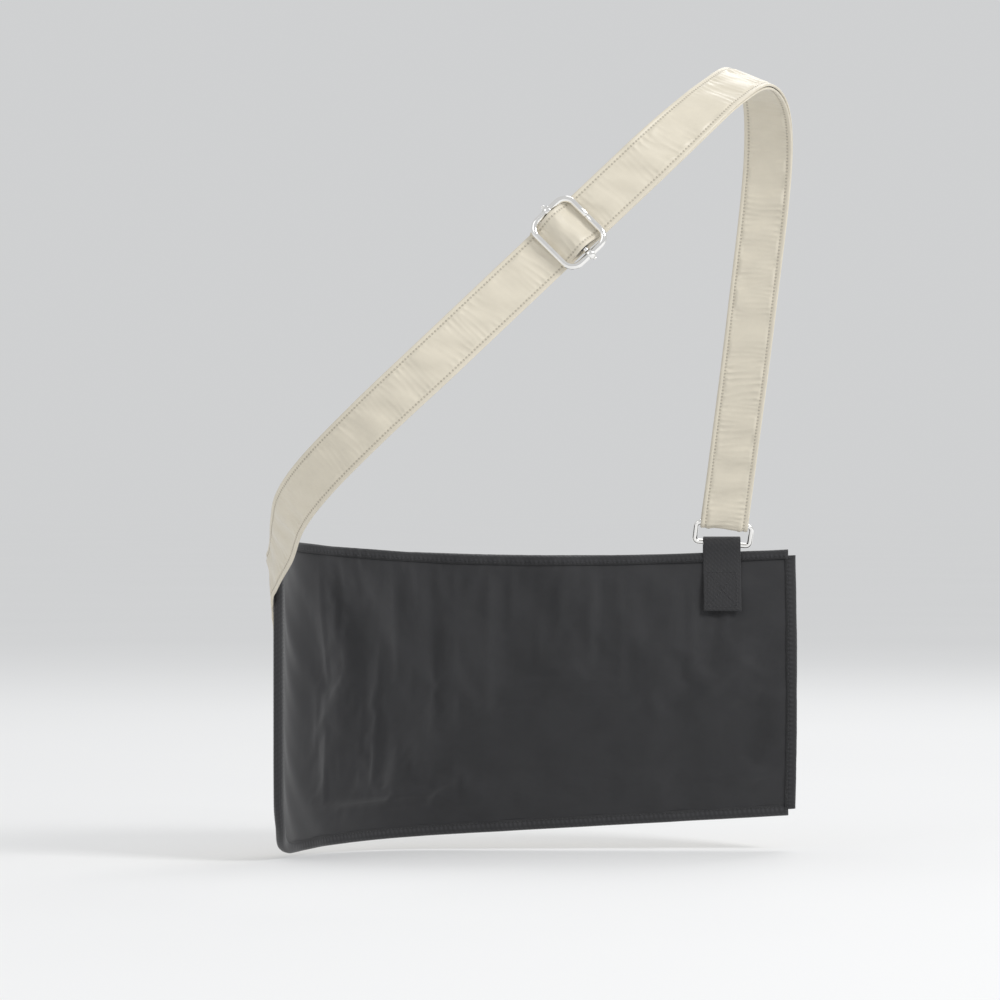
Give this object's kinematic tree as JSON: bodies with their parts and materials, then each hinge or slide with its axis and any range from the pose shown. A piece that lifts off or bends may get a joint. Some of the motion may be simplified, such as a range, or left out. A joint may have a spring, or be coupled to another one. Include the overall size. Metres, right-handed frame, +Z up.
{
  "type": "arm sling",
  "caption": "Arm sling: forearm pouch carried by a flat shoulder strap with a movable-bar slider, shaped as worn round a torso.",
  "frame": {"origin": "the strap's contact point on top of the wearer's right shoulder", "axes": "+Z up, the wearer faces -Y, +X is the wearer's left"},
  "size_m": [0.3499, 0.2924, 0.5073],
  "materials": {
    "satin": "champagne satin, soft sheen",
    "webbing": "black woven webbing, matte",
    "pouch_satin": "champagne satin-faced cloth, soft sheen",
    "pouch_back_cloth": "black plain-weave cloth, matte",
    "lining": "charcoal lining, matte",
    "binding": "black bias tape, matte",
    "polished_metal": "polished nickel plate",
    "thread": "pale polyester thread"
  },
  "bodies": {
    "strap": {"webbing_back_run": "webbing", "satin_back_run": "satin", "webbing_shoulder_outer_run": "webbing", "satin_shoulder_outer_run": "satin", "webbing_front_outer_run": "webbing", "satin_front_outer_run": "satin", "webbing_ring_turn": "webbing", "satin_ring_turn": "satin", "webbing_front_under_run": "webbing", "satin_front_under_run": "satin", "webbing_shoulder_under_run": "webbing", "satin_shoulder_under_run": "satin"},
    "slider_frame": {"slider_frame": "polished_metal"},
    "slider_bar": {"slider_centre_bar": "polished_metal", "strap_end_loop": "webbing", "strap_bar_crossing": "satin", "webbing_tail": "webbing", "satin_tail": "satin", "tail_bar_tack": "thread"},
    "hand_ring": {"hand_ring": "polished_metal"},
    "pouch": {"pouch_front_panel": "pouch_satin", "pouch_back_panel": "pouch_back_cloth", "pouch_front_lining": "lining", "pouch_back_lining": "lining", "pouch_front_top_binding": "binding", "pouch_back_top_binding": "binding", "pouch_bottom_binding": "binding", "pouch_elbow_binding": "binding", "pouch_front_hand_binding": "binding", "pouch_back_hand_binding": "binding", "hand_tab": "webbing", "webbing_elbow_end": "webbing", "satin_elbow_end": "satin", "elbow_bar_tack": "thread"}
  },
  "joints": [
    {"name": "slider_slide", "type": "slide", "parent": "strap", "child": "slider_frame", "axis": [-0.719, -0.1161, 0.6852], "range_m": [-0.07, 0.04]},
    {"name": "bar_shift", "type": "slide", "parent": "slider_frame", "child": "slider_bar", "axis": [-0.719, -0.1161, 0.6852], "range_m": [-0.002, 0.002]},
    {"name": "ring_tilt", "type": "hinge", "parent": "strap", "child": "hand_ring", "pos_m": [0.007, -0.161, -0.283], "axis": [-0.9945, -0.0399, -0.0967], "range_deg": [0, 4]},
    {"name": "pouch_swing", "type": "hinge", "parent": "strap", "child": "pouch", "pos_m": [0.00846, -0.16627, -0.29589], "axis": [-0.9117, -0.4051, 0.0682], "range_deg": [0, 10]}
  ]
}
